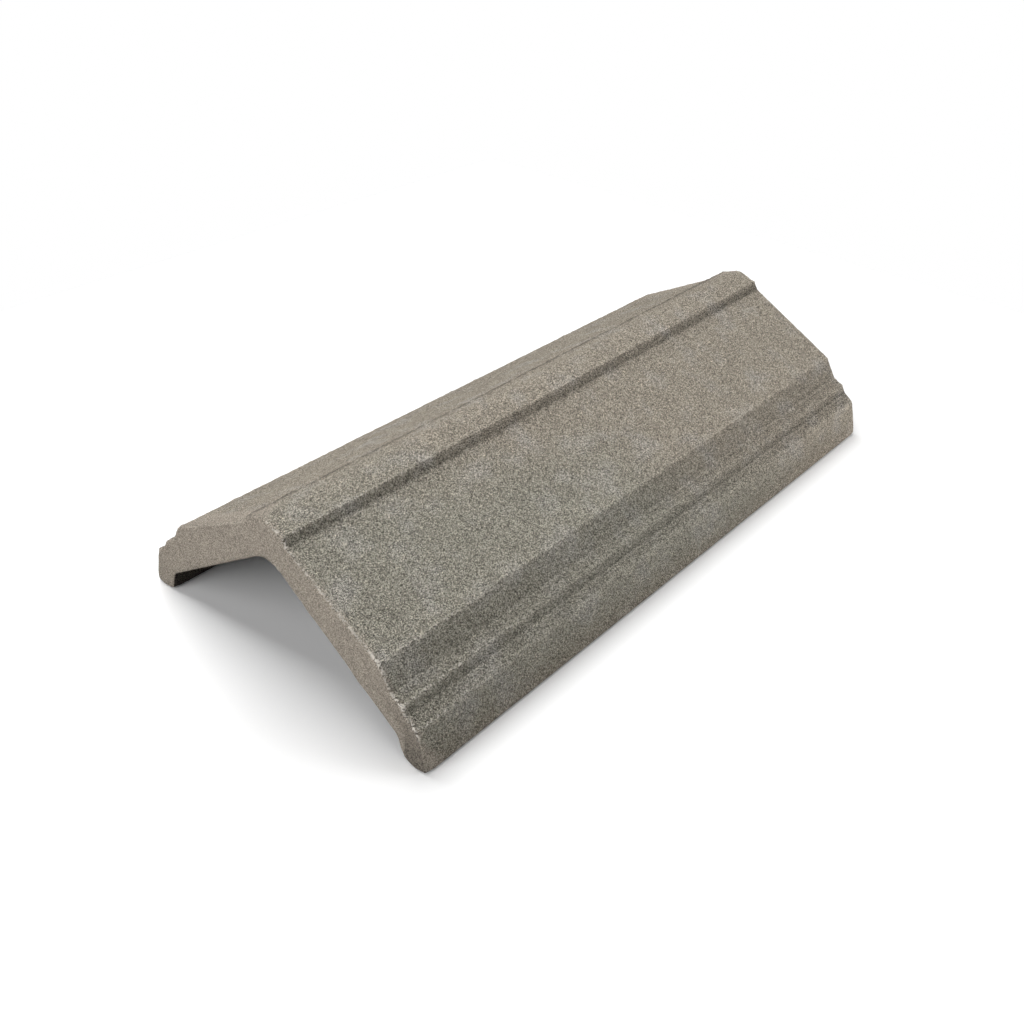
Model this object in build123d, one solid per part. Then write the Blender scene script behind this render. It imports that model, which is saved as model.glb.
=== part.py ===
from build123d import *
import os
from math import radians, tan

# Angular concrete ridge tile, cast in one piece and open at both ends.
# X runs along the ridge, Y across it and Z is up. The origin is on the plane
# that the two feet rest on, under the ridge line, half way along the tile.
# All sizes are in millimetres and all slopes are in degrees below level.

LENGTH = 420.0
FOOT_SPAN = 211.6
CREST_HEIGHT = 91.8

# Crest roll: a low gabled cap that stands proud of the two wings
ROLL_WIDTH = 27.2
ROLL_SLOPE = 19.5
ROLL_STEP = 4.9

# Wing: the flat slope from the roll to the shoulder
WING_RUN = 60.7
WING_SLOPE = 28.4

# Mouldings below the shoulder: a tall riser, a ledge, a small riser, a ledge
TALL_RISER_SLOPE = 60.0
SMALL_RISER_SLOPE = 63.0
SHOULDER_DROP = 12.7
UPPER_LEDGE_RUN = 6.8
UPPER_LEDGE_SLOPE = 24.5
SMALL_DROP = 5.1
LOWER_LEDGE_RUN = 6.6
LOWER_LEDGE_SLOPE = 34.0

# Drip lip and underside
FOOT_WIDTH = 15.0
LIP_INNER_HEIGHT = 13.0
LIP_INNER_DRAFT = 4.0
UNDERSIDE_SLOPE = 33.6

# Roundings of the corners, from the crest to the ridge of the hollow
CREST_RADIUS = 8.0
ROLL_EDGE_RADIUS = 1.5
ROLL_FOOT_RADIUS = 0.9
SHOULDER_RADIUS = 2.4
SHOULDER_FOOT_RADIUS = 1.2
LEDGE_EDGE_RADIUS = 1.6
LEDGE_FOOT_RADIUS = 0.9
LIP_TOP_RADIUS = 5.5
FOOT_OUTER_RADIUS = 1.5
FOOT_INNER_RADIUS = 3.5
LIP_ROOT_RADIUS = 5.0
HOLLOW_RADIUS = 17.0

# Softened edge all round each end face
END_ARRIS = 1.2


def down(start, slope, run=0.0, drop=0.0):
    """The point reached from start by going outwards and down a slope, by a run or by a drop."""
    across, up = start
    return (across + run + drop / tan(radians(slope)), up - drop - run * tan(radians(slope)))


def half_section():
    """The corners of one side, from beside the crest to beside the hollow's ridge, each with its radius."""
    roll_edge = down((0, CREST_HEIGHT), ROLL_SLOPE, run=ROLL_WIDTH / 2)
    roll_foot = down(roll_edge, SMALL_RISER_SLOPE, drop=ROLL_STEP)
    shoulder = down(roll_foot, WING_SLOPE, run=WING_RUN)
    shoulder_foot = down(shoulder, TALL_RISER_SLOPE, drop=SHOULDER_DROP)
    ledge_edge = down(shoulder_foot, UPPER_LEDGE_SLOPE, run=UPPER_LEDGE_RUN)
    ledge_foot = down(ledge_edge, SMALL_RISER_SLOPE, drop=SMALL_DROP)
    lip_top = down(ledge_foot, LOWER_LEDGE_SLOPE, run=LOWER_LEDGE_RUN)
    foot_outer = (FOOT_SPAN / 2, 0)
    foot_inner = (FOOT_SPAN / 2 - FOOT_WIDTH, 0)
    lip_root = (foot_inner[0] - LIP_INNER_DRAFT, LIP_INNER_HEIGHT)
    return [
        (roll_edge, ROLL_EDGE_RADIUS),
        (roll_foot, ROLL_FOOT_RADIUS),
        (shoulder, SHOULDER_RADIUS),
        (shoulder_foot, SHOULDER_FOOT_RADIUS),
        (ledge_edge, LEDGE_EDGE_RADIUS),
        (ledge_foot, LEDGE_FOOT_RADIUS),
        (lip_top, LIP_TOP_RADIUS),
        (foot_outer, FOOT_OUTER_RADIUS),
        (foot_inner, FOOT_INNER_RADIUS),
        (lip_root, LIP_ROOT_RADIUS),
    ]


def section():
    """The whole cross-section: both sides, joined at the crest and at the ridge of the hollow."""
    near_side = half_section()
    far_side = [((-across, up), radius) for (across, up), radius in reversed(near_side)]
    (root_across, root_up), _ = near_side[-1]
    hollow_ridge = (0, root_up + root_across * tan(radians(UNDERSIDE_SLOPE)))
    crest = (0, CREST_HEIGHT)
    corners = [(crest, CREST_RADIUS), *near_side, (hollow_ridge, HOLLOW_RADIUS), *far_side]
    points = [point for point, _ in corners]
    radii = [radius for _, radius in corners]
    with BuildSketch(Plane.YZ) as sketch:
        with BuildLine():
            FilletPolyline(*points, radius=radii, close=True)
        make_face()
    return sketch.sketch


def ridge_tile():
    """The section drawn out along the ridge, with the edges of both end faces softened."""
    tile = extrude(section(), amount=LENGTH / 2, both=True)
    by_place = tile.faces().sort_by(Axis.X)
    return fillet(by_place[0].edges() + by_place[-1].edges(), radius=END_ARRIS)


os.makedirs("parts", exist_ok=True)
export_step(ridge_tile(), "parts/ridge_tile.step")
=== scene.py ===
# %% [markdown]
# A concrete ridge tile, dressed for its portrait.
# The frame holds the tile as it was drawn: right in size and section, but with the clean skin of a drawing.
# The real tile is cast in a dry, sandy mix, so its faces are gritty, its arrises have crumbled a little and
# the ends are smoother than the weather side. This lesson sets up the camera, gives the tile that skin and lights it.

# %% Load the frame
import math
import bpy
import numpy as np
from mathutils import Matrix, Vector, kdtree


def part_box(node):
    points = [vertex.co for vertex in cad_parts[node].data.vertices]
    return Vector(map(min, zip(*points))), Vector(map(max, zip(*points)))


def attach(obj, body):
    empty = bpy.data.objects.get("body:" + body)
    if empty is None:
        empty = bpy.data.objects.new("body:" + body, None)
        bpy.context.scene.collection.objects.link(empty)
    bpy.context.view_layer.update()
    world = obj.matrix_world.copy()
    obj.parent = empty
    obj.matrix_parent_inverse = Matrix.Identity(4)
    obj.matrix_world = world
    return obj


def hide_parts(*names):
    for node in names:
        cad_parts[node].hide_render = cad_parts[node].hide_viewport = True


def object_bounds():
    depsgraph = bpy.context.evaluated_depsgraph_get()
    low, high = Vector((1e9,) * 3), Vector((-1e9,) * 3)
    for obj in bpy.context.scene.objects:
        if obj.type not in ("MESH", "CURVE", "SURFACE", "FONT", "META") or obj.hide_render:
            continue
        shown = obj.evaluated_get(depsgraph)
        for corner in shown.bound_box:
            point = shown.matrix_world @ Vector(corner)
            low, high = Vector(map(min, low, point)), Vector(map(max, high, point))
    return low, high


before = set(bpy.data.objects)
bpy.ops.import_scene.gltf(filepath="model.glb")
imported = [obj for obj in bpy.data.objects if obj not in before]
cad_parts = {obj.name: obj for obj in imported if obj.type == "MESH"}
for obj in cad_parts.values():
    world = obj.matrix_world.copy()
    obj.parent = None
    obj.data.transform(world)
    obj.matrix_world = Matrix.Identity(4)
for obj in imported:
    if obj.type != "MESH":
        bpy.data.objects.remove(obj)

cad_box = [list(corner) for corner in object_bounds()]
tile_low, tile_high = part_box("ridge_tile")
MM = 0.001
print("tile size in mm:", [round(side / MM, 1) for side in tile_high - tile_low])

# %% [markdown]
# The camera comes first, because everything after it is judged through it. The photograph was taken from above
# the near left corner. The long edges of the tile meet in one far point, and together with the corners of the ends
# they give the camera's turn, height, tilt and lens. The lens centre lies a little above the picture's middle,
# which is what shift_y says.

# %% Camera
CAMERA_PLACE = Vector((-0.4612, -0.3656, 0.3949))
CAMERA_TURN = math.radians(-49.46)
CAMERA_HEIGHT_ANGLE = math.radians(29.96)
CAMERA_ROLL = math.radians(1.56)
PICTURE_SIDE_PX = 1024
FOCAL_PX = 1127.8
LENS_CENTRE_Y_PX = 420

bpy.ops.object.select_all(action="DESELECT")
bpy.ops.object.camera_add()
camera = bpy.context.object
camera.name = "portrait_camera"
turn = Matrix.Rotation(CAMERA_TURN, 4, "Z")
tip = Matrix.Rotation(math.pi / 2 - CAMERA_HEIGHT_ANGLE, 4, "X")
roll = Matrix.Rotation(CAMERA_ROLL, 4, "Z")
camera.matrix_world = Matrix.Translation(CAMERA_PLACE) @ turn @ tip @ roll
camera.data.lens = camera.data.sensor_width * FOCAL_PX / PICTURE_SIDE_PX
camera.data.shift_y = (LENS_CENTRE_Y_PX - PICTURE_SIDE_PX / 2) / PICTURE_SIDE_PX
bpy.context.scene.camera = camera
print("lens in mm:", round(camera.data.lens, 2), "shift:", round(camera.data.shift_y, 4))

# %% [markdown]
# The form. The frame's tile is exact but it is made of a few long triangles, with nothing between them to push about.
# It has the same section all along, so a better net can be grown from that section. Bisecting a copy at its middle
# and clearing both sides leaves only the line of the cut. Points that share a place are merged before the cut, and
# after it a wider merge thins the crowded points on the curves.

# %% Take the section from the tile
SAME_PLACE = 0.005 * MM
CURVE_MERGE = 0.5 * MM


def only(piece):
    """Selects this piece alone and makes it the active one."""
    bpy.ops.object.select_all(action="DESELECT")
    piece.select_set(True)
    bpy.context.view_layer.objects.active = piece


tile = bpy.data.objects.new("sanded_tile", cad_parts["ridge_tile"].data.copy())
bpy.context.scene.collection.objects.link(tile)
only(tile)
bpy.ops.object.mode_set(mode="EDIT")
bpy.ops.mesh.select_all(action="SELECT")
bpy.ops.mesh.remove_doubles(threshold=SAME_PLACE)
bpy.ops.mesh.bisect(plane_co=(0, 0, 0), plane_no=(1, 0, 0), clear_inner=True, clear_outer=True)
bpy.ops.mesh.select_all(action="SELECT")
bpy.ops.mesh.remove_doubles(threshold=CURVE_MERGE)
bpy.ops.transform.translate(value=(tile_low.x, 0, 0))
bpy.ops.object.mode_set(mode="OBJECT")
print("points in the section:", len(tile.data.vertices))

# %% [markdown]
# Edges are picked in code, by where they lie. A mesh hands over all its points or edges at once as a table, which is
# far quicker than asking for them one by one. A selection can only be written in object mode, so the helper goes there
# and comes back.

# %% Helpers for reading and selecting


def points_of(piece):
    """The places and normals of a mesh's points, as two tables."""
    places = np.empty(len(piece.data.vertices) * 3)
    normals = np.empty(len(piece.data.vertices) * 3)
    piece.data.vertices.foreach_get("co", places)
    piece.data.vertices.foreach_get("normal", normals)
    return places.reshape(-1, 3), normals.reshape(-1, 3)


def edge_ends(piece):
    """The two end points of every edge."""
    pairs = np.empty(2 * len(piece.data.edges), dtype=int)
    piece.data.edges.foreach_get("vertices", pairs)
    return points_of(piece)[0][pairs].reshape(-1, 2, 3)


def select_edges(piece, wanted):
    """Selects these edges alone and leaves the piece in edit mode."""
    bpy.ops.object.mode_set(mode="EDIT")
    bpy.ops.mesh.select_mode(type="EDGE")
    bpy.ops.mesh.select_all(action="DESELECT")
    bpy.ops.object.mode_set(mode="OBJECT")
    piece.data.edges.foreach_set("select", wanted)
    bpy.ops.object.mode_set(mode="EDIT")


tile_places, _ = points_of(tile)
print("half of the section spans", round(tile_places[:, 1].max() / MM, 1), "mm")

# %% [markdown]
# Next, the long straight edges of the section are split into short steps. The weather side will carry grit, so its
# steps are small, and smaller still beside the long edges of the moulding, or smooth shading would blur them. The
# underside is plain and hidden, so a few long steps do. A sloping line between the two sides of the section tells which
# is which. The places of the long edges are pairs in mm, outwards and up.

# %% Split the section into steps
WEATHER_STEP = 1.8 * MM
EDGE_STEP = 0.45 * MM
EDGE_ZONE = 1.7 * MM
UNDERSIDE_STEP = 6.0 * MM
ONCE_CUT = 1.1 * WEATHER_STEP
STEP_SLACK = 0.01
OUTER_EDGES = ((13.6, 87.0), (76.8, 49.3), (90.9, 33.5), (100.1, 23.9))
INNER_EDGES = ((16.1, 82.1), (84.1, 36.6), (93.5, 28.4))
MIDDLE_LINE_HEIGHT = 78 * MM
MIDDLE_LINE_FALL = 0.636
LIP_START = 92 * MM
SOLE_HEIGHT = 0.2 * MM


def on_underside(places):
    """True where a point lies on the hollow or on a foot's sole."""
    out = np.abs(places[:, 1])
    below_middle = places[:, 2] < MIDDLE_LINE_HEIGHT - MIDDLE_LINE_FALL * out
    return below_middle & ((out < LIP_START) | (places[:, 2] < SOLE_HEIGHT))


def distance_to(places, edges):
    """How far each place is from the nearest of the long edges through these points of the section, given in mm."""
    away = [np.hypot(np.abs(places[:, 1]) - out * MM, places[:, 2] - up * MM) for out, up in edges]
    return np.min(away, axis=0)


def parts_needed(piece):
    """How many steps each edge should become. The fine ones beside a long edge wait until the first cut is made."""
    ends = edge_ends(piece)
    middles = ends.mean(axis=1)
    lengths = np.linalg.norm(ends[:, 1] - ends[:, 0], axis=1)
    step = np.where(on_underside(middles), UNDERSIDE_STEP, WEATHER_STEP)
    beside_edge = distance_to(middles, OUTER_EDGES + INNER_EDGES) < EDGE_ZONE
    step[beside_edge & (lengths < ONCE_CUT)] = EDGE_STEP
    return np.ceil(lengths / step - STEP_SLACK).astype(int)


parts = parts_needed(tile)
while parts.max() > 1:
    select_edges(tile, parts == parts.max())
    bpy.ops.mesh.subdivide(number_cuts=int(parts.max()) - 1)
    bpy.ops.object.mode_set(mode="OBJECT")
    parts = parts_needed(tile)
print("steps round the section:", len(tile.data.edges))

# %% [markdown]
# The section is filled with one face and extruded to the tile's full length. The bevel comes now, while each end is
# still a single face, because later there would be points in its way. Its edges are the ones that lie across the ridge.

# %% Extrude the section and soften the ends
END_ARRIS = 1.0 * MM
ACROSS_RIDGE = 0.1 * MM
length = tile_high.x - tile_low.x
bpy.ops.object.mode_set(mode="EDIT")
bpy.ops.mesh.select_all(action="SELECT")
bpy.ops.mesh.edge_face_add()
bpy.ops.mesh.extrude_region_move(TRANSFORM_OT_translate={"value": (length, 0, 0)})
bpy.ops.mesh.select_all(action="SELECT")
bpy.ops.mesh.normals_make_consistent(inside=False)
bpy.ops.object.mode_set(mode="OBJECT")
ends = edge_ends(tile)
select_edges(tile, np.abs(ends[:, 1, 0] - ends[:, 0, 0]) < ACROSS_RIDGE)
bpy.ops.mesh.bevel(offset=END_ARRIS, segments=3, profile=0.5, clamp_overlap=False)
bpy.ops.object.mode_set(mode="OBJECT")
print("faces after the bevel:", len(tile.data.polygons))

# %% [markdown]
# Two things are still too large to bend: the end faces and the long strips between them. Bisecting an end face again
# and again with upright and level planes lays a grid over it. The strips are split by selecting the edges that run
# along the ridge, apart from the short ones of the bevel. Subdivide makes at most a hundred cuts, so this takes two
# rounds, and a third doubles the rings close to the ends, where the crumbling will be.

# %% Grid the ends and ring the strips
END_GRID = 2.5 * MM
END_ZONE = 9 * MM
STRIP_ROUNDS = (15, 13)
SHORTEST_STRIP = 1.3 * MM
END_FACING = 0.999
ON_PLANE = 0.05 * MM


def cut_end_faces(piece, corner, normal):
    """Bisects the two flat end faces with one plane."""
    facing = np.array([abs(face.normal.x) > END_FACING for face in piece.data.polygons])
    bpy.ops.object.mode_set(mode="EDIT")
    bpy.ops.mesh.select_mode(type="FACE")
    bpy.ops.mesh.select_all(action="DESELECT")
    bpy.ops.object.mode_set(mode="OBJECT")
    piece.data.polygons.foreach_set("select", facing)
    bpy.ops.object.mode_set(mode="EDIT")
    bpy.ops.mesh.bisect(plane_co=corner, plane_no=normal, threshold=ON_PLANE)
    bpy.ops.object.mode_set(mode="OBJECT")


def cut_strips(piece, cuts, beyond=0.0):
    """Splits the edges that run along the ridge and lie beyond this distance from its middle."""
    ends = edge_ends(piece)
    along = np.abs(ends[:, 1, 0] - ends[:, 0, 0]) > SHORTEST_STRIP
    select_edges(piece, along & (np.abs(ends[:, :, 0]).max(axis=1) > beyond))
    bpy.ops.mesh.subdivide(number_cuts=cuts)
    bpy.ops.object.mode_set(mode="OBJECT")


for y in np.arange(tile_low.y + END_GRID, tile_high.y, END_GRID):
    cut_end_faces(tile, (0, y, 0), (0, 1, 0))
for z in np.arange(END_GRID, tile_high.z, END_GRID):
    cut_end_faces(tile, (0, 0, z), (0, 0, 1))
for cuts in STRIP_ROUNDS:
    cut_strips(tile, cuts)
cut_strips(tile, 1, beyond=tile_high.x - END_ZONE)
bpy.ops.object.mode_set(mode="EDIT")
bpy.ops.mesh.select_mode(type="FACE")
bpy.ops.mesh.select_all(action="DESELECT")
bpy.ops.mesh.select_face_by_sides(number=4, type="GREATER")
bpy.ops.mesh.quads_convert_to_tris(quad_method="BEAUTY", ngon_method="BEAUTY")
bpy.ops.object.mode_set(mode="OBJECT")
print("faces in the net:", len(tile.data.polygons))

# %% [markdown]
# Wear needs to know where it is, so each point of the net will keep a few numbers. Most of them say, from 0 to 1, how
# much the point belongs to a place. The material reads them as attributes, and the modifiers that press in the relief
# read them as vertex groups.

# %% Helpers for marks
GROUP_STEPS = 40


def smooth_step(value, low, high):
    """0 below low, 1 above high, and an even rise between."""
    t = np.clip((value - low) / (high - low), 0, 1)
    return t * t * (3 - 2 * t)


def nearness(places, edges, reach):
    """1 on these long edges, and down to 0 away from them."""
    return np.exp(-(distance_to(places, edges) / reach) ** 2)


def add_attribute(piece, name, values):
    """Keeps one number for each point, for the material to read."""
    attribute = piece.data.attributes.new(name, "FLOAT", "POINT")
    attribute.data.foreach_set("value", values.astype(np.float32))


def add_group(piece, name, values):
    """Keeps the same numbers as a vertex group, for modifiers. Points of like weight go in together."""
    group = piece.vertex_groups.new(name=name)
    rounded = np.round(values * GROUP_STEPS).astype(int)
    for step in range(1, GROUP_STEPS + 1):
        members = np.flatnonzero(rounded == step)
        if len(members):
            group.add(members.tolist(), step / GROUP_STEPS, "REPLACE")


places, normals = points_of(tile)
end_facing = np.abs(normals[:, 0])
print("points to mark:", len(places))

# %% [markdown]
# The first two marks say how much a point belongs to the sanded weather side, and how near it is to the arris round
# an end. The normal tells: along the ridge on an end face, square to it on a long face, and between the two on an
# arris. A k-d tree finds the nearest point of the arris quickly, and only points close to an end ask for it.

# %% Find the weather side and the arrises
ARRIS_REACH = 2.0 * MM
ASKING_ZONE = 4 * ARRIS_REACH
LONG_FACE_BELOW = 0.2
END_FACE_ABOVE = 0.97
WEATHER_FADE = (0.6, 0.9)
weather = (1 - smooth_step(end_facing, *WEATHER_FADE)) * ~on_underside(places)
on_arris = (end_facing > LONG_FACE_BELOW) & (end_facing < END_FACE_ABOVE)
arris_tree = kdtree.KDTree(int(on_arris.sum()))
for index, arris_place in enumerate(places[on_arris]):
    arris_tree.insert(arris_place, index)
arris_tree.balance()
arris = np.zeros(len(places))
for index in np.flatnonzero(np.abs(places[:, 0]) > tile_high.x - ASKING_ZONE):
    _, _, away = arris_tree.find(places[index])
    arris[index] = math.exp(-(away / ARRIS_REACH) ** 2)
print("points on an arris:", int(on_arris.sum()))

# %% [markdown]
# Concrete crumbles at an arris first, and most of all where that arris turns a corner of the moulding. This tile has
# suffered most along the near wing's end, so the other arrises count for less, and the drip lip's for hardly
# anything, because there the smooth skin of the end runs on round the corner. The other marks follow the long outer
# edges, the far rim of the crest roll and the corners of the feet.

# %% Keep the marks
WHOLE_ARRIS = 0.35
LIP_ARRIS = 0.15
LIP_FADE = (12 * MM, 24 * MM)
NEAR_END_FADE = (-50 * MM, 50 * MM)
NEAR_WING_FADE = (-3 * MM, 3 * MM)
CORNER_REACH = 5.0 * MM
CORNER_SHARE = 0.4
CRUMBLE_REACH = 1.3 * MM
OUTER_REACH = 2.5 * MM
RIM_REACH = 1.9 * MM
FOOT_REACH = 3.5 * MM
ROLL_RIM = ((12.3, 87.4),)
FOOT_EDGES = ((105.5, 0.5), (92.0, 1.0))
near_end = 1 - smooth_step(places[:, 0], *NEAR_END_FADE)
near_wing = 1 - smooth_step(places[:, 1], *NEAR_WING_FADE)
blended = arris * (1 - near_wing)
arris *= WHOLE_ARRIS + (1 - WHOLE_ARRIS) * near_end * near_wing
arris *= LIP_ARRIS + (1 - LIP_ARRIS) * smooth_step(places[:, 2], *LIP_FADE)
marks = {
    "weather": weather,
    "arris": arris,
    "outer_edge": nearness(places, OUTER_EDGES, OUTER_REACH) * weather,
    "far_rim_shade": nearness(places, ROLL_RIM, RIM_REACH) * weather * (places[:, 1] > 0),
}
for name, values in marks.items():
    add_attribute(tile, name, values)
add_group(tile, "weather", weather)
add_group(tile, "outer_edge", nearness(places, OUTER_EDGES, CRUMBLE_REACH) * weather)
at_corner = nearness(places, OUTER_EDGES, CORNER_REACH)
add_group(tile, "arris", arris * (1 - CORNER_SHARE + CORNER_SHARE * at_corner))
from_end = tile_high.x - np.abs(places[:, 0])
add_group(tile, "foot_corner", nearness(places, FOOT_EDGES, FOOT_REACH) * np.exp(-(from_end / FOOT_REACH) ** 2))
print("marks:", list(marks), "groups:", [group.name for group in tile.vertex_groups])

# %% [markdown]
# Painted light and shade also follow the moulding. Its outer edges carry painted highlights, painted shade darkens the
# risers and the back of each ledge, and the drip lip is painted lighter. On the weather side each height belongs to one
# place of the section, so a list of heights in mm and tones is enough. A tone of 0.05 is 5% lighter to the eye. Towards
# the far end the painted steps of light and shade are stronger, while the wing and the roll grow even.

# %% Paint the light and shade of the moulding
PLAIN_END = 20 * MM
FAR_END_FADE = (50 * MM, 200 * MM)
FAR_CONTRAST = 0.6
FAR_FADE = -0.9
WING_FOOT = 50 * MM
PAINTED_LIGHT_BY_HEIGHT = {
    "drip lip": ((0, 0.05), (10, 0.06), (19, 0.09), (22.5, 0.1), (23.9, 0.05)),
    "lower ledge": ((25.2, -0.06), (27.4, -0.12), (27.9, -0.02)),
    "small riser": ((28.5, -0.16), (31.4, -0.04), (32.4, 0.0), (33.0, 0.08)),
    "upper ledge": ((33.7, -0.03), (35.9, -0.1), (36.3, 0.0)),
    "tall riser": ((37.4, -0.08), (40, -0.03), (48.0, -0.02), (48.9, 0.06)),
    "wing": ((50.5, 0.02), (60, 0.01), (74, 0.03), (79, 0.03), (81.4, 0.01)),
    "roll": ((82.4, -0.16), (84.5, -0.1), (86.4, -0.02), (87.2, 0.05), (88.5, 0.04)),
}
heights, tones = np.array([pair for pairs in PAINTED_LIGHT_BY_HEIGHT.values() for pair in pairs]).T
plain = (1 - near_wing) * smooth_step(np.abs(places[:, 0]), tile_high.x - PLAIN_END, tile_high.x)
tone_with_painted_light = np.interp(places[:, 2] / MM, heights, tones) * weather * (1 - plain)
far_end = smooth_step(places[:, 0], *FAR_END_FADE)
faded = (tone_with_painted_light > 0) & (places[:, 2] > WING_FOOT)
tone_with_painted_light *= 1 + far_end * np.where(faded, FAR_FADE, FAR_CONTRAST)
print("tones from", tones.min(), "to", tones.max())

# %% [markdown]
# Four places have a tone of their own. On the far side the skin of the end runs on over the arris and along the wing,
# and a little painted shade there and on that arris hides the turn. The faces of the hollow are darkened with painted
# shade, and the near foot of the end face grows darker towards the bottom.

# %% Paint shade on the ends and the hollow
FAR_WING_END_SHADE = -0.05
BLENDED_ARRIS_SHADE = -0.03
HOLLOW_PAINTED_SHADE = -0.35
END_FOOT_DARKENING = -0.26
END_FOOT_TOP = 42 * MM
tone_with_painted_light += FAR_WING_END_SHADE * plain * weather * near_end
tone_with_painted_light += BLENDED_ARRIS_SHADE * blended
tone_with_painted_light += HOLLOW_PAINTED_SHADE * on_underside(places) * (end_facing < LONG_FACE_BELOW)
end_foot_fade = (1 - weather) * near_wing * near_end * (1 - smooth_step(places[:, 2], 0, END_FOOT_TOP))
tone_with_painted_light += END_FOOT_DARKENING * end_foot_fade * ~on_underside(places)
marks["tone_with_painted_light"] = tone_with_painted_light
add_attribute(tile, "tone_with_painted_light", tone_with_painted_light)
print("with the ends and the hollow, from", round(tone_with_painted_light.min(), 2), "to", round(tone_with_painted_light.max(), 2))

# %% [markdown]
# Relief. Each Displace modifier pushes the points in along their normals by a procedural pattern with a real size:
# a slow swell left by the mould, the lumps of the sanded face, and crumbling that only the edges' own groups let
# through. More contrast and intensity leave most of an edge whole, with a hole here and there. The patterns only push
# inwards, so the tile stays inside its true size, and a last clip makes sure of its box. At a worn corner of the near
# wing's end the normals turn as the net crumbles, so a crumb there can stand up to a millimetre proud of its edge.

# %% Press the relief into the net


def push_in(piece, name, size, depth, group="", **settings):
    """Displaces the piece inwards by a cloudy pattern of this size and depth, where the group allows it."""
    pattern = bpy.data.textures.new(name, "CLOUDS")
    pattern.noise_scale = size
    for field, value in settings.items():
        setattr(pattern, field, value)
    only(piece)
    push = piece.modifiers.new(name, "DISPLACE")
    push.texture = pattern
    push.texture_coords = "LOCAL"
    push.mid_level = 1.0
    push.strength = depth
    push.vertex_group = group
    bpy.ops.object.modifier_apply(modifier=push.name)


push_in(tile, "mould swell", 70 * MM, 0.25 * MM)
push_in(tile, "uneven sanding", 12 * MM, 0.08 * MM, "weather")
push_in(tile, "grit lumps", 2.2 * MM, 0.09 * MM, "weather", noise_depth=1)
push_in(tile, "worn long edges", 2.2 * MM, 0.4 * MM, "outer_edge", noise_depth=1, contrast=2.5, intensity=1.4)
push_in(tile, "crumbled arris", 2.2 * MM, 1.1 * MM, "arris", noise_depth=2, contrast=2.5, intensity=1.35)
push_in(tile, "worn foot corners", 9 * MM, 1.2 * MM, "foot_corner")

places, _ = points_of(tile)
places = np.clip(places, cad_box[0], cad_box[1])
tile.data.vertices.foreach_set("co", places.ravel())
tile.data.update()
only(tile)
bpy.ops.object.shade_smooth()
print("top of the tile after the relief, in mm:", round(places[:, 2].max() / MM, 2))

# %% [markdown]
# Materials are trees of nodes. One small function adds a node, sets its values and joins its inputs, so that each
# material reads as a list of what feeds what. A node has outputs for every kind of number it can deal in and hides
# those that its settings don't use, so a link from a whole node takes the first output that is in use. Short names
# stand for the kinds of node and the operations that come up often: RANGE brings one stretch of numbers to another.

# %% Helpers for materials
MATH = "ShaderNodeMath"
VECTOR_MATH = "ShaderNodeVectorMath"
RANGE = "ShaderNodeMapRange"
NOISE = "ShaderNodeTexNoise"
CELLS = "ShaderNodeTexVoronoi"
MIX = "ShaderNodeMix"
ADD, MULTIPLY, MULTIPLY_ADD, MAXIMUM = (
    {"operation": name} for name in ("ADD", "MULTIPLY", "MULTIPLY_ADD", "MAXIMUM")
)
COLOURS = {"data_type": "RGBA"}


def linear(hex_colour):
    """An sRGB hex colour as the linear numbers that a socket wants, by the sRGB curve, with a full alpha."""
    parts = [int(hex_colour[i:i + 2], 16) / 255 for i in (1, 3, 5)]
    return [p / 12.92 if p <= 0.04045 else ((p + 0.055) / 1.055) ** 2.4 for p in parts] + [1.0]


def add_node(tree, kind, settings=None, values=None, links=None):
    """Adds one node. settings are its own fields, values fill sockets, and links join sockets to nodes or outputs."""
    node = tree.nodes.new(kind)
    for field, value in (settings or {}).items():
        setattr(node, field, value)
    for socket, value in (values or {}).items():
        node.inputs[socket].default_value = value
    for socket, source in (links or {}).items():
        if isinstance(source, bpy.types.Node):
            source = next(output for output in source.outputs if output.enabled)
        tree.links.new(source, node.inputs[socket])
    return node


def empty_material(name):
    """A new material with nothing in its tree."""
    material = bpy.data.materials.new(name)
    material.use_nodes = True
    material.node_tree.nodes.clear()
    return material


print("a middle grey, #808080, is", round(linear("#808080")[0], 3), "in linear light")

# %% [markdown]
# The finish. Sand-faced concrete is a dull, grey-brown paste full of sand grains about half a millimetre across. It has
# no shine worth the name, so roughness is near one, and what the eye reads as concrete is the grain: each grain has
# its own tone and stands a little proud. The paste comes first. The mix was not quite even, so it goes from a cool
# grey at one corner of the tile to a warmer one across it, and a slow noise makes that change wander. Away from
# the sanded side it is the lighter, smoother skin that the steel former left.

# %% Concrete, the paste
PASTE_COOL = "#949084"
PASTE_WARM = "#999184"
SKIN = "#9E9589"
DRIFT_SIZE = 120 * MM
DRIFT_PER_METRE = (4.0, 12.0, 0.0)
DRIFT_WANDER = 1.2
COOL_TO_WARM = {"From Min": -0.45, "From Max": 0.1}
concrete = empty_material("sand_faced_concrete")
tree = concrete.node_tree
place = add_node(tree, "ShaderNodeTexCoord").outputs["Object"]
weather_side, crumbling, outer_edge, far_rim_shade, tone_with_painted_light = (
    add_node(tree, "ShaderNodeAttribute", {"attribute_name": name}).outputs["Fac"] for name in marks
)
across_tile = add_node(tree, VECTOR_MATH, {"operation": "DOT_PRODUCT"}, {1: DRIFT_PER_METRE}, {0: place})
slow_noise = add_node(tree, NOISE, {}, {"Scale": 1 / DRIFT_SIZE, "Detail": 3.0}, {"Vector": place})
drift = add_node(tree, MATH, MULTIPLY_ADD, {1: DRIFT_WANDER}, {0: slow_noise, 2: across_tile})
warmth = add_node(tree, RANGE, {}, COOL_TO_WARM, {"Value": drift})
paste = add_node(tree, MIX, COLOURS, {"A": linear(PASTE_COOL), "B": linear(PASTE_WARM)}, {"Factor": warmth})
print("nodes so far:", len(tree.nodes))
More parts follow.
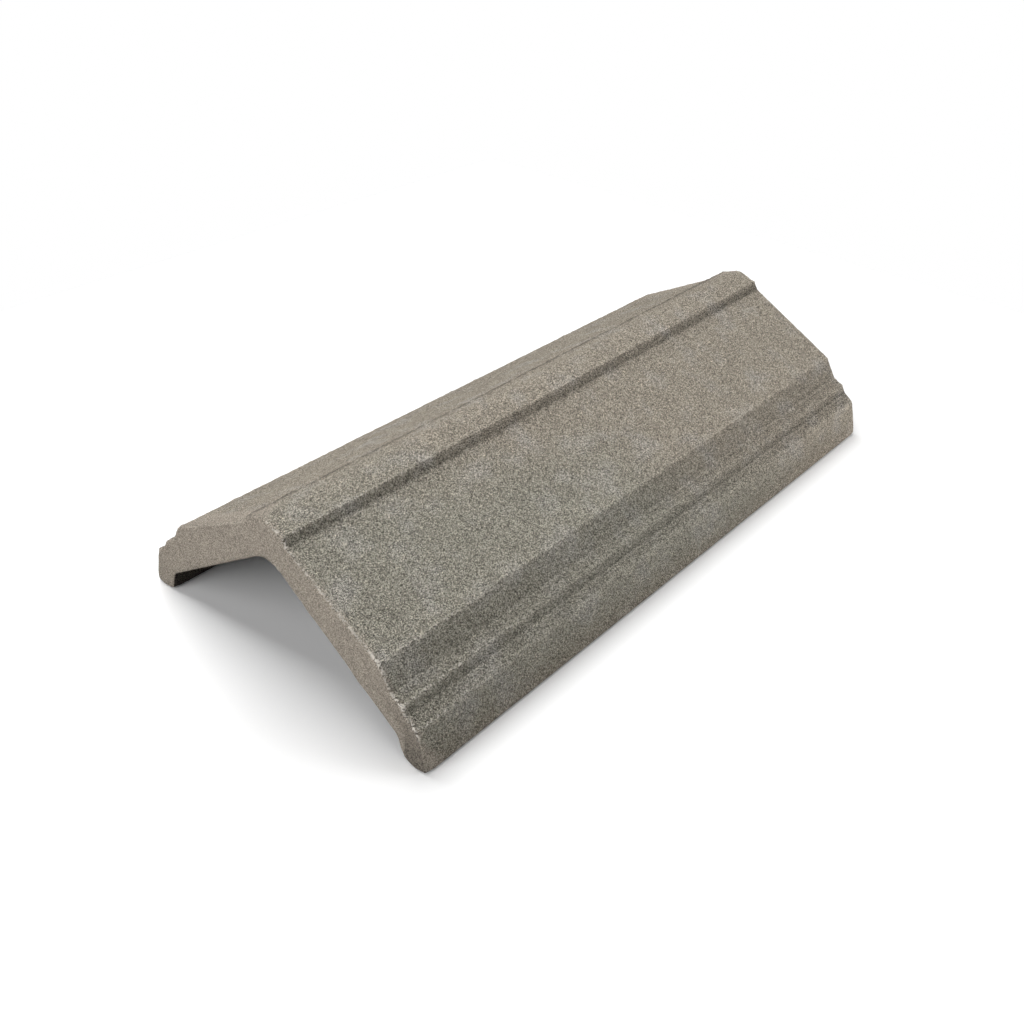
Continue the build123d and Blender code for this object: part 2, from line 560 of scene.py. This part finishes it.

# %% [markdown]
# Two things lie over the paste on the sanded side. A pale bloom of lime covers it in patches, which are the high parts
# of a noise, and painted shade makes the foot of the lip darker and browner. Separate XYZ gives the height for that.

# %% Concrete, the bloom and the painted shade at the lip's foot
BLOOM = "#A8A5A2"
LOW_LIP_SHADE = "#857A6B"
PATCH_SIZE = 18 * MM
IN_PATCHES = {"From Min": 0.5, "From Max": 0.72, "To Max": 0.35}
LOW_ZONE_TOP = 17 * MM
LOW_ZONE_FULL = 3 * MM
LOW_SHADE_SHARE = 0.4
patches = add_node(tree, NOISE, {}, {"Scale": 1 / PATCH_SIZE, "Detail": 3.0}, {"Vector": place})
bloom = add_node(tree, RANGE, {}, IN_PATCHES, {"Value": patches})
bloomed = add_node(tree, MIX, COLOURS, {"B": linear(BLOOM)}, {"Factor": bloom, "A": paste})
axes = add_node(tree, "ShaderNodeSeparateXYZ", links={"Vector": place})
low_down = {"From Min": LOW_ZONE_TOP, "From Max": LOW_ZONE_FULL}
low_shade = add_node(tree, RANGE, {}, {**low_down, "To Max": LOW_SHADE_SHARE}, {"Value": axes.outputs["Z"]})
bloomed_and_shaded = add_node(tree, MIX, COLOURS, {"B": linear(LOW_LIP_SHADE)}, {"Factor": low_shade, "A": bloomed})
print("nodes so far:", len(tree.nodes))

# %% [markdown]
# Close to an end the smooth skin has come round the arris. It makes a ragged border, which is wider at the lip and on
# the far wing. The distance from the middle of the tile, with a noise and both widenings added, says where it starts.

# %% Concrete, the border of skin
BORDER = 3.5 * MM
BORDER_AT_LIP = 10.0 * MM
BORDER_ON_FAR_WING = 14.0 * MM
BORDER_RAGS = 7.0 * MM
RAG_SIZE = 4.0 * MM
RIDGE_WIDTH = 8 * MM
SANDED_ON_BORDER = 0.2
from_middle = add_node(tree, MATH, {"operation": "ABSOLUTE"}, {}, {0: axes.outputs["X"]})
rags = add_node(tree, NOISE, {}, {"Scale": 1 / RAG_SIZE, "Detail": 3.0}, {"Vector": place})
ragged = add_node(tree, MATH, MULTIPLY_ADD, {1: BORDER_RAGS}, {0: rags, 2: from_middle})
at_lip = add_node(tree, RANGE, {}, {**low_down, "To Max": BORDER_AT_LIP}, {"Value": axes.outputs["Z"]})
beyond_ridge = {"From Min": 0.0, "From Max": RIDGE_WIDTH, "To Max": BORDER_ON_FAR_WING}
on_far_wing = add_node(tree, RANGE, {}, beyond_ridge, {"Value": axes.outputs["Y"]})
wider_at_lip = add_node(tree, MATH, ADD, {}, {0: ragged, 1: at_lip})
widened = add_node(tree, MATH, ADD, {}, {0: wider_at_lip, 1: on_far_wing})
border_end = tile_high.x + BORDER_RAGS / 2
over_border = {"From Min": border_end - BORDER, "From Max": border_end, "To Min": 1.0, "To Max": SANDED_ON_BORDER}
inside_border = add_node(tree, RANGE, {}, over_border, {"Value": widened})
sanded = add_node(tree, MATH, MULTIPLY, {}, {0: weather_side, 1: inside_border})
ground = add_node(tree, MIX, COLOURS, {"A": linear(SKIN)}, {"Factor": sanded, "B": bloomed_and_shaded})
print("nodes so far:", len(tree.nodes))

# %% [markdown]
# The grain. A Voronoi pattern gives each grain its own tone, and a finer noise breaks the grains up. Their sum, evened
# out about zero, swings strongly on the sanded side and less on the skin. One, the patches and the moulding's tones
# are added to it. The eye sees steps of light by about the power 1/2.2, so the sum is raised to 2.2 before it
# multiplies the paste, which keeps dark grains from outweighing the pale ones. The real fines are like dust, too small
# for the picture, so they are drawn almost as coarse as the grains. Most of a noise lies between 0.3 and 0.7.

# %% Concrete, the grain
GRAIN_SIZE = 0.45 * MM
FINES_SIZE = 0.36 * MM
EYE_POWER = 2.2
GRAIN_CONTRAST = 0.84
FINES_CONTRAST = 0.62
SKIN_CONTRAST = 0.65
PATCH_DARK = 0.985
PATCH_PALE = 1.015
MOST_NOISE = {"From Min": 0.3, "From Max": 0.7}
grains = add_node(tree, CELLS, {}, {"Scale": 1 / GRAIN_SIZE}, {"Vector": place})
grain_tone = add_node(tree, "ShaderNodeSeparateColor", links={"Color": grains.outputs["Color"]}).outputs["Red"]
fine_noise = add_node(tree, NOISE, {}, {"Scale": 1 / FINES_SIZE, "Detail": 1.0}, {"Vector": place})
fines = add_node(tree, RANGE, {}, MOST_NOISE, {"Value": fine_noise})
evened = {1: GRAIN_CONTRAST, 2: -(GRAIN_CONTRAST + FINES_CONTRAST) / 2}
coarse = add_node(tree, MATH, MULTIPLY_ADD, evened, {0: grain_tone})
speckle = add_node(tree, MATH, MULTIPLY_ADD, {1: FINES_CONTRAST}, {0: fines, 2: coarse})
contrast = add_node(tree, MATH, MULTIPLY_ADD, {1: 1 - SKIN_CONTRAST, 2: SKIN_CONTRAST}, {0: sanded})
patchy = {**MOST_NOISE, "To Min": PATCH_DARK, "To Max": PATCH_PALE}
patch_tone = add_node(tree, RANGE, {}, patchy, {"Value": patches})
# The painted light and shade of the moulding, the ends and the hollow are added to the patches here.
level = add_node(tree, MATH, ADD, {}, {0: patch_tone, 1: tone_with_painted_light})
seen_tone = add_node(tree, MATH, MULTIPLY_ADD, {}, {0: speckle, 1: contrast, 2: level})
tone = add_node(tree, MATH, {"operation": "POWER"}, {1: EYE_POWER}, {0: seen_tone})
toned = add_node(tree, VECTOR_MATH, {"operation": "SCALE"}, {}, {"Vector": ground, "Scale": tone})
print("nodes so far:", len(tree.nodes))

# %% [markdown]
# Where an edge has crumbled, pale bits of fresh concrete show, with dark pits between them. A coarser Voronoi pattern
# gives each bit a number between 0 and 1, and each stretch below says where a bit starts to show and where it shows
# fully. So about two in five are pale on an arris, one in five along the outer edges towards the near end, and one in
# four is a pit. The attributes keep them all to the edges.

# %% Concrete, the pits and the crumbs
CRUMB = "#E4DED4"
PIT = "#4E4942"
CRUMB_SIZE = 0.95 * MM
PALE_SHARE = 0.9
DARK_SHARE = 0.6
PIT_BITS = {"From Min": 0.3, "From Max": 0.2, "To Max": DARK_SHARE}
ARRIS_BITS = {"From Min": 0.54, "From Max": 0.64, "To Max": PALE_SHARE}
EDGE_BITS = {"From Min": 0.78, "From Max": 0.86, "To Max": PALE_SHARE}
ON_ARRIS = {"From Min": 0.4, "From Max": 0.8}
ON_EDGE_LINE = {"From Min": 0.8, "From Max": 0.98}
BESIDE_EDGE = {"From Min": 0.3, "From Max": 0.9}
TOWARDS_NEAR_END = {"From Min": -100 * MM, "From Max": -185 * MM}
crumbs = add_node(tree, CELLS, {}, {"Scale": 1 / CRUMB_SIZE}, {"Vector": place})
crumb_tone = add_node(tree, "ShaderNodeSeparateColor", links={"Color": crumbs.outputs["Color"]}).outputs["Green"]
near_arris = add_node(tree, RANGE, {}, ON_ARRIS, {"Value": crumbling})
near_long_edge = add_node(tree, RANGE, {}, ON_EDGE_LINE, {"Value": outer_edge})
near_edge = add_node(tree, MATH, MAXIMUM, {}, {0: near_arris, 1: near_long_edge})
pits = add_node(tree, RANGE, {}, PIT_BITS, {"Value": crumb_tone})
pitted = add_node(tree, MATH, MULTIPLY, {}, {0: pits, 1: near_edge})

bits = add_node(tree, RANGE, {}, ARRIS_BITS, {"Value": crumb_tone})
arris_bits = add_node(tree, MATH, MULTIPLY, {}, {0: bits, 1: near_arris})
few_bits = add_node(tree, RANGE, {}, EDGE_BITS, {"Value": crumb_tone})
along_edge = add_node(tree, RANGE, {}, BESIDE_EDGE, {"Value": outer_edge})
at_near_end = add_node(tree, RANGE, {}, TOWARDS_NEAR_END, {"Value": axes.outputs["X"]})
near_end_edge = add_node(tree, MATH, MULTIPLY, {}, {0: along_edge, 1: at_near_end})
edge_bits = add_node(tree, MATH, MULTIPLY, {}, {0: few_bits, 1: near_end_edge})
pale = add_node(tree, MATH, MAXIMUM, {}, {0: arris_bits, 1: edge_bits})
crumbed = add_node(tree, MIX, COLOURS, {"B": linear(CRUMB)}, {"Factor": pale, "A": toned})
chipped = add_node(tree, MIX, COLOURS, {"B": linear(PIT)}, {"Factor": pitted, "A": crumbed})
print("nodes so far:", len(tree.nodes))

# %% [markdown]
# A thin broken line of painted shade runs along the far rim of the roll. A noise breaks it into dashes.

# %% Concrete, the painted shade along the rim
RIM_DASH = 5.0 * MM
DASHES = {"From Min": 0.32, "From Max": 0.46, "To Max": DARK_SHARE}
rim_noise = add_node(tree, NOISE, {}, {"Scale": 1 / RIM_DASH, "Detail": 2.0}, {"Vector": place})
dashes = add_node(tree, RANGE, {}, DASHES, {"Value": rim_noise})
painted_rim_shade = add_node(tree, MATH, MULTIPLY, {}, {0: dashes, 1: far_rim_shade})
# The painted shade takes the dark colour of the pits.
finished = add_node(tree, MIX, COLOURS, {"B": linear(PIT)}, {"Factor": painted_rim_shade, "A": chipped})
print("nodes so far:", len(tree.nodes))

# %% [markdown]
# The grains also catch the light. Their height goes through a Bump node, and so do the faint lines that run
# the length of the tile where the machine drew the concrete along: a noise stretched two hundred times along X.

# %% Concrete, the fine relief
LINE_WIDTH = 2.0 * MM
LINE_LENGTH = 400 * MM
GRIT_DEPTH = 0.45 * MM
GRIT_STRENGTH = 0.9
DOME_HEIGHT = 0.9
LINE_HEIGHT = 0.4
SKIN_GRIT = 0.4
DRAWN = (1 / LINE_LENGTH, 1 / LINE_WIDTH, 1 / LINE_WIDTH)
stretched = add_node(tree, VECTOR_MATH, MULTIPLY, {1: DRAWN}, {0: place})
lines = add_node(tree, NOISE, {}, {"Scale": 1.0, "Detail": 2.0}, {"Vector": stretched})
domes = add_node(tree, RANGE, {}, {"To Min": DOME_HEIGHT, "To Max": 0.0}, {"Value": grains.outputs["Distance"]})
grit_height = add_node(tree, MATH, ADD, {}, {0: domes, 1: fines})
grit_share = add_node(tree, MATH, MULTIPLY_ADD, {1: 1 - SKIN_GRIT, 2: SKIN_GRIT}, {0: sanded})
sanded_height = add_node(tree, MATH, MULTIPLY, {}, {0: grit_height, 1: grit_share})
height = add_node(tree, MATH, MULTIPLY_ADD, {1: LINE_HEIGHT}, {0: lines, 2: sanded_height})
depth = {"Strength": GRIT_STRENGTH, "Distance": GRIT_DEPTH}
bump = add_node(tree, "ShaderNodeBump", {}, depth, {"Height": height})
surface = add_node(
    tree, "ShaderNodeBsdfPrincipled", {}, {"Roughness": 0.92, "IOR": 1.5, "Specular IOR Level": 0.25},
    {"Base Color": finished, "Normal": bump},
)
add_node(tree, "ShaderNodeOutputMaterial", links={"Surface": surface})
tile.data.materials.clear()
tile.data.materials.append(concrete)
print("nodes in the concrete:", len(tree.nodes))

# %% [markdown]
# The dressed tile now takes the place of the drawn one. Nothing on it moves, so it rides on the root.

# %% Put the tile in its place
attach(tile, "root")
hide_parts("ridge_tile")
print("in place of ridge_tile:", tile.name, "with", len(tile.data.vertices), "points")

# %% [markdown]
# The floor and the light. The tile lies on a white sheet that shows only its soft shadow. The sheet ends where the
# light on it is still full white, so that its edge can't be told from the white room beyond. For every ray but the
# camera's it is a dark grey, so that it doesn't fill the hollow with light.

# %% Floor
FLOOR_SIDE = 1.0
SEEN_WHITE = 1.01
BOUNCED_GREY = 0.12
bpy.ops.object.select_all(action="DESELECT")
bpy.ops.mesh.primitive_plane_add(size=FLOOR_SIDE)
floor = bpy.context.object
floor.name = "white_ground"
paper_material = empty_material("white_ground_paper")
tree = paper_material.node_tree
rays = add_node(tree, "ShaderNodeLightPath")
seen_or_bounced = add_node(
    tree, MIX, {"data_type": "FLOAT"}, {"A": BOUNCED_GREY, "B": SEEN_WHITE}, {"Factor": rays.outputs["Is Camera Ray"]},
)
paper = add_node(tree, "ShaderNodeBsdfDiffuse", links={"Color": seen_or_bounced})
add_node(tree, "ShaderNodeOutputMaterial", links={"Surface": paper})
floor.data.materials.append(paper_material)
print("floor side in metres:", FLOOR_SIDE)

# %% [markdown]
# The white room is the world. It is white to the camera and gives no light, so that only the lamps light the tile.

# %% World
world = bpy.data.worlds.new("white_room")
bpy.context.scene.world = world
world.use_nodes = True
tree = world.node_tree
tree.nodes.clear()
rays = add_node(tree, "ShaderNodeLightPath")
sky = add_node(
    tree, "ShaderNodeBackground", {}, {"Color": linear("#FFFFFF")}, {"Strength": rays.outputs["Is Camera Ray"]},
)
add_node(tree, "ShaderNodeOutputWorld", links={"Surface": sky})
print("world:", world.name)

# %% [markdown]
# Six soft lamps light the tile. Each is placed by its bearing, turning from the side that faces -Y towards +X, by its
# height angle and by its distance. The strongest hangs high behind the tile, so the crest and the far wing are the
# brightest faces and the shadow falls towards us. Two look at the near end from the left. A small one stands close to
# the far part of the near side: it is why the risers and the lip grow lighter towards the far end. The numbers are
# bearing, height angle, distance, side and power, in degrees, metres and watts. The Standard view then shows colours
# as they are.

# %% Lamps
LAMPS = {
    "behind_high": (180, 65, 2.0, 1.4, 31.4),
    "behind_low": (180, 38, 2.0, 1.4, 6.3),
    "behind_right": (135, 38, 2.0, 1.4, 8.2),
    "near_end": (-90, 38, 2.0, 1.4, 11.8),
    "near_end_low": (-90, 12, 2.0, 1.4, 20.6),
    "far_front_close": (23, 15, 0.79, 0.5, 4.3),
}
CLOSE_LAMP_AIM = Vector((0.1, 0, 0.04))

for name, (bearing, height_angle, distance, side, power) in LAMPS.items():
    across, up = math.radians(bearing), math.radians(height_angle)
    towards = Vector((math.sin(across) * math.cos(up), -math.cos(across) * math.cos(up), math.sin(up)))
    aim = CLOSE_LAMP_AIM if "close" in name else Vector()
    bpy.ops.object.light_add(type="AREA", location=aim + distance * towards)
    lamp = bpy.context.object
    lamp.name = name
    lamp.rotation_euler = towards.to_track_quat("Z", "Y").to_euler()
    lamp.data.size = side
    lamp.data.energy = power
print("lamps:", list(LAMPS))

bpy.context.scene.view_settings.view_transform = "Standard"

# %% [markdown]
# Last, the tile is made the active one, the scene is brought up to date and the tile's triangles are worked out.

# %% Bring the scene up to date
only(tile)
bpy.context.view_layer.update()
tile.data.calc_loop_triangles()
